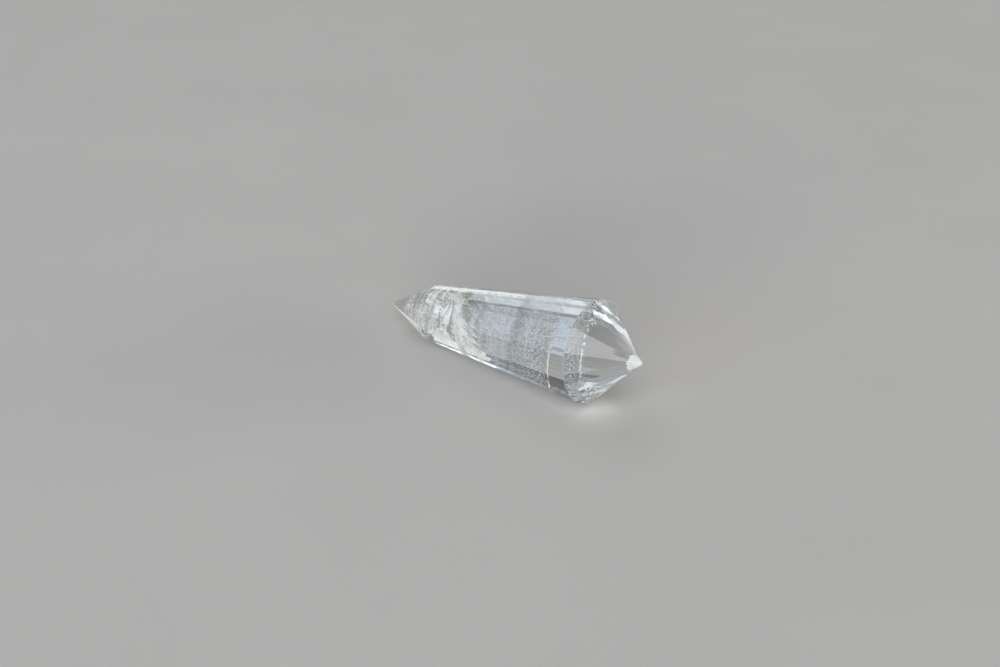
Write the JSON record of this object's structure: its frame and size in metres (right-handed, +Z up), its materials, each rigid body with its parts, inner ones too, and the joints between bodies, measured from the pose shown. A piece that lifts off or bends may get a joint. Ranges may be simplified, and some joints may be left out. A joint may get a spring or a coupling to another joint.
{
  "type": "faceted quartz point",
  "caption": "Clear quartz crystal ground into a tapered, many-sided wand with a blunt point at its wide end and a slim point at the other, lying on one long facet.",
  "frame": {"origin": "on the resting surface, under the middle of the crystal's bounding box as it lies", "axes": "+X along the crystal from the slim point to the wide point, +Z up; the axis itself falls 6 degrees towards the slim point"},
  "size_m": [0.0794, 0.026, 0.0256],
  "materials": {
    "clear_quartz": "polished clear quartz, see-through, with white veils and a faint grey-green tint"
  },
  "bodies": {
    "root": {"quartz_point": "clear_quartz"}
  },
  "joints": []
}
